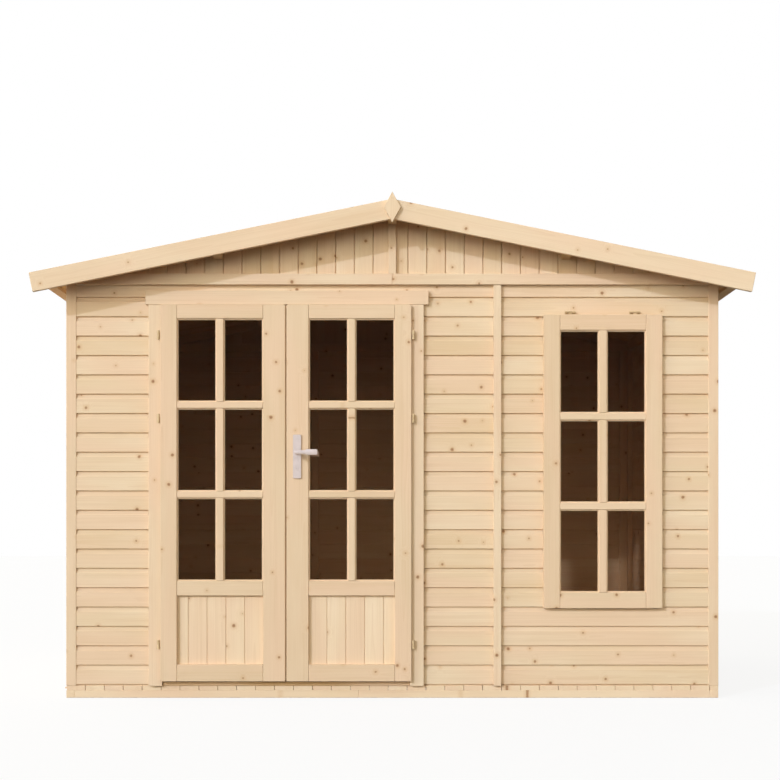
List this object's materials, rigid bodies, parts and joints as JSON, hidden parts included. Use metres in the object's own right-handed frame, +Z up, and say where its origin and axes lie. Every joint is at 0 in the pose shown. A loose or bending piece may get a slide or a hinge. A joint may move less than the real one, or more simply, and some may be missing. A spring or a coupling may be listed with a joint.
{
  "type": "garden shed",
  "caption": "Hollow timber garden shed with a low gabled shingle roof, glazed double doors that swing out, a turning lever handle and a fixed glazed window.",
  "frame": {"origin": "centre of the footprint on the ground, under the base bearers", "axes": "+X to the right as seen from the front, +Y from the doors to the back wall, +Z up"},
  "size_m": [3.26, 2.332, 2.2842],
  "materials": {
    "base_wood": "planed bare spruce",
    "wall_wood": "planed bare spruce boards with knots",
    "frame_wood": "planed bare spruce",
    "trim_wood": "planed bare spruce with knots",
    "joinery_wood": "sanded bare spruce",
    "roof_wood": "planed bare spruce",
    "glass": "clear, dark behind",
    "hinge_steel": "zinc plated",
    "handle_metal": "satin",
    "shingle": "blue-grey mineral granules on bitumen"
  },
  "bodies": {
    "house": {"side_bearers": "base_wood", "cross_bearers": "base_wood", "floor": "base_wood", "front_wall_left": "wall_wood", "front_wall_middle": "wall_wood", "front_wall_right": "wall_wood", "front_wall_over_door": "wall_wood", "front_wall_over_window": "wall_wood", "front_wall_under_window": "wall_wood", "front_gable": "wall_wood", "back_wall": "wall_wood", "back_gable": "wall_wood", "left_wall": "wall_wood", "right_wall": "wall_wood", "wall_studs": "frame_wood", "wall_rails": "frame_wood", "gable_rafters": "frame_wood", "corner_trims": "trim_wood", "band_boards": "trim_wood", "cover_battens": "trim_wood", "door_jamb_trims": "trim_wood", "door_lintel": "trim_wood", "window_frame": "joinery_wood", "window_glass": "glass", "window_hinges": "hinge_steel", "roof_beams": "roof_wood", "left_roof_deck": "roof_wood", "right_roof_deck": "roof_wood", "left_shingles": "shingle", "right_shingles": "shingle", "ridge_cap": "shingle", "front_barge_boards": "trim_wood", "back_barge_boards": "trim_wood", "finials": "trim_wood", "jamb_hinges": "hinge_steel"},
    "left_door": {"left_door_frame": "joinery_wood", "left_door_panel": "joinery_wood", "left_door_glass": "glass", "left_door_hinges": "hinge_steel"},
    "right_door": {"right_door_frame": "joinery_wood", "right_door_panel": "joinery_wood", "right_door_glass": "glass", "right_door_hinges": "hinge_steel", "handle_plates": "handle_metal"},
    "door_handle": {"handle_lever": "handle_metal"}
  },
  "joints": [
    {"name": "left_door_hinge", "type": "hinge", "parent": "house", "child": "left_door", "pos_m": [-1.0705, -1.03, 0.9], "axis": [0, 0, -1], "range_deg": [0, 165]},
    {"name": "right_door_hinge", "type": "hinge", "parent": "house", "child": "right_door", "pos_m": [0.0965, -1.03, 0.9], "axis": [0, 0, 1], "range_deg": [0, 165]},
    {"name": "lever_turn", "type": "hinge", "parent": "right_door", "child": "door_handle", "pos_m": [-0.435, -1.036, 1.125], "axis": [0, 1, 0], "range_deg": [0, 40], "stiffness_Nm_per_rad": 0.8, "springref_deg": -17.19}
  ]
}
